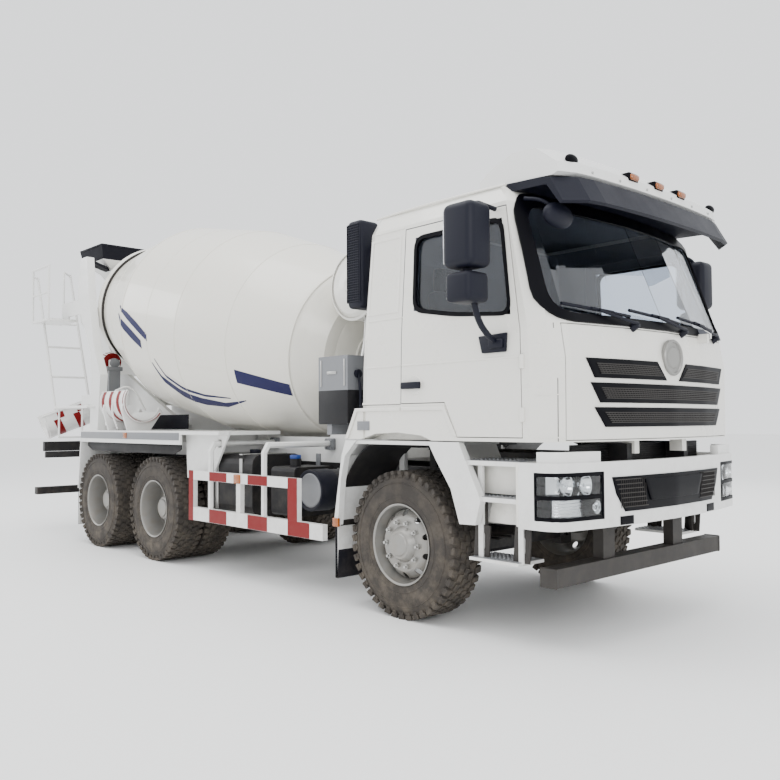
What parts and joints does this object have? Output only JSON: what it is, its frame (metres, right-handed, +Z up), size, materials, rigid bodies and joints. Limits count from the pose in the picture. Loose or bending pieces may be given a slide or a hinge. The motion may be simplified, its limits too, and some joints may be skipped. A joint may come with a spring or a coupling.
{
  "type": "concrete mixer truck",
  "caption": "Forward-control mixer truck: tilting cab, turning sloped drum, hopper, swinging chute, ladder, side guards and twin-tyred rear axles.",
  "frame": {"origin": "on the ground, at the middle of the truck's length and width", "axes": "+X forward along the truck, +Y to the driver's left, +Z up"},
  "size_m": [9.1442, 3.24, 3.94],
  "materials": {
    "cream_paint": "gloss",
    "white_paint": "gloss",
    "black_paint": "satin",
    "grey_paint": "satin",
    "dark_steel": "satin",
    "cast_block": "rough",
    "black_plastic": "satin",
    "hopper_rubber": "matt",
    "tyre_rubber": "matt",
    "window_glass": "clear",
    "lamp_glass": "clear",
    "seat_cloth": "woven"
  },
  "bodies": {
    "truck": {"chassis_frame": "black_paint", "front_axle": "black_paint", "rear_bogie": "black_paint", "engine_block": "cast_block", "front_bumper": "white_paint", "headlamp_left": "lamp_glass", "headlamp_right": "lamp_glass", "underrun_beam": "dark_steel", "front_arch_left": "white_paint", "front_arch_right": "white_paint", "air_filter_box": "grey_paint", "water_tank": "cream_paint", "fuel_tank": "black_paint", "exhaust_silencer": "grey_paint", "battery_box": "black_paint", "air_tanks": "dark_steel", "side_guard_left": "white_paint", "side_guard_right": "white_paint", "rear_fender_left": "white_paint", "rear_fender_right": "white_paint", "drum_subframe": "white_paint", "drum_gearbox": "grey_paint", "rear_pedestal": "white_paint", "hopper": "hopper_rubber", "discharge_funnel": "white_paint", "rear_bumper": "grey_paint", "ladder_platform": "white_paint", "extension_chutes": "white_paint"},
    "cab": {"cab_shell": "cream_paint", "windscreen": "window_glass", "roof_header": "white_paint", "sun_visor": "black_plastic", "dashboard": "black_plastic", "seat_left": "seat_cloth", "seat_right": "seat_cloth", "bunk": "seat_cloth", "intake_snorkel": "black_plastic"},
    "lid": {"fascia_lid": "cream_paint"},
    "door_left": {"door_left": "cream_paint", "door_glass_left": "window_glass", "mirror_left": "black_plastic"},
    "door_right": {"door_right": "cream_paint", "door_glass_right": "window_glass", "mirror_right": "black_plastic"},
    "steer_left": {"knuckle_left": "dark_steel"},
    "front_wheel_left": {"front_wheel_left": "tyre_rubber"},
    "steer_right": {"knuckle_right": "dark_steel"},
    "front_wheel_right": {"front_wheel_right": "tyre_rubber"},
    "rear_wheel_2_left": {"rear_wheel_2_left": "tyre_rubber"},
    "rear_wheel_2_right": {"rear_wheel_2_right": "tyre_rubber"},
    "rear_wheel_3_left": {"rear_wheel_3_left": "tyre_rubber"},
    "rear_wheel_3_right": {"rear_wheel_3_right": "tyre_rubber"},
    "drum": {"drum": "cream_paint"},
    "chute_swivel": {"chute_arm": "white_paint"},
    "chute": {"main_chute": "white_paint"}
  },
  "joints": [
    {"name": "cab_tilt", "type": "hinge", "parent": "truck", "child": "cab", "pos_m": [4.387, 0, 1.28], "axis": [0, 1, 0], "range_deg": [0, 40]},
    {"name": "lid_open", "type": "hinge", "parent": "cab", "child": "lid", "pos_m": [4.532, 0, 2.092], "axis": [0, -1, 0], "range_deg": [0, 75]},
    {"name": "door_left", "type": "hinge", "parent": "cab", "child": "door_left", "pos_m": [4.157, 1.222, 1.5], "axis": [0, 0, -1], "range_deg": [0, 70]},
    {"name": "door_right", "type": "hinge", "parent": "cab", "child": "door_right", "pos_m": [4.157, -1.222, 1.5], "axis": [0, 0, 1], "range_deg": [0, 70]},
    {"name": "steer_left", "type": "hinge", "parent": "truck", "child": "steer_left", "pos_m": [2.947, 0.855, 0.55], "axis": [0, 0, 1], "range_deg": [-30, 30]},
    {"name": "front_wheel_left", "type": "hinge", "parent": "steer_left", "child": "front_wheel_left", "pos_m": [2.947, 1, 0.55], "axis": [0, 1, 0], "continuous": true},
    {"name": "steer_right", "type": "hinge", "parent": "truck", "child": "steer_right", "pos_m": [2.947, -0.855, 0.55], "axis": [0, 0, 1], "range_deg": [-30, 30]},
    {"name": "front_wheel_right", "type": "hinge", "parent": "steer_right", "child": "front_wheel_right", "pos_m": [2.947, -1, 0.55], "axis": [0, 1, 0], "continuous": true},
    {"name": "rear_wheel_2_left", "type": "hinge", "parent": "truck", "child": "rear_wheel_2_left", "pos_m": [-0.803, 1.08, 0.55], "axis": [0, 1, 0], "continuous": true},
    {"name": "rear_wheel_2_right", "type": "hinge", "parent": "truck", "child": "rear_wheel_2_right", "pos_m": [-0.803, -1.08, 0.55], "axis": [0, 1, 0], "continuous": true},
    {"name": "rear_wheel_3_left", "type": "hinge", "parent": "truck", "child": "rear_wheel_3_left", "pos_m": [-2.203, 1.08, 0.55], "axis": [0, 1, 0], "continuous": true},
    {"name": "rear_wheel_3_right", "type": "hinge", "parent": "truck", "child": "rear_wheel_3_right", "pos_m": [-2.203, -1.08, 0.55], "axis": [0, 1, 0], "continuous": true},
    {"name": "drum_spin", "type": "hinge", "parent": "truck", "child": "drum", "pos_m": [-0.513, 0, 2.5], "axis": [-0.9799, 0, 0.1994], "continuous": true},
    {"name": "chute_swivel", "type": "hinge", "parent": "truck", "child": "chute_swivel", "pos_m": [-4.103, 0, 1.6], "axis": [0, 0, -1], "range_deg": [0, 156]},
    {"name": "chute_lower", "type": "hinge", "parent": "chute_swivel", "child": "chute", "pos_m": [-4.103, 0, 1.9], "axis": [0.9781, -0.2079, 0], "range_deg": [0, 12]}
  ],
  "couplings": [
    {"joint": "steer_right", "follows": "steer_left", "ratio": 1}
  ]
}
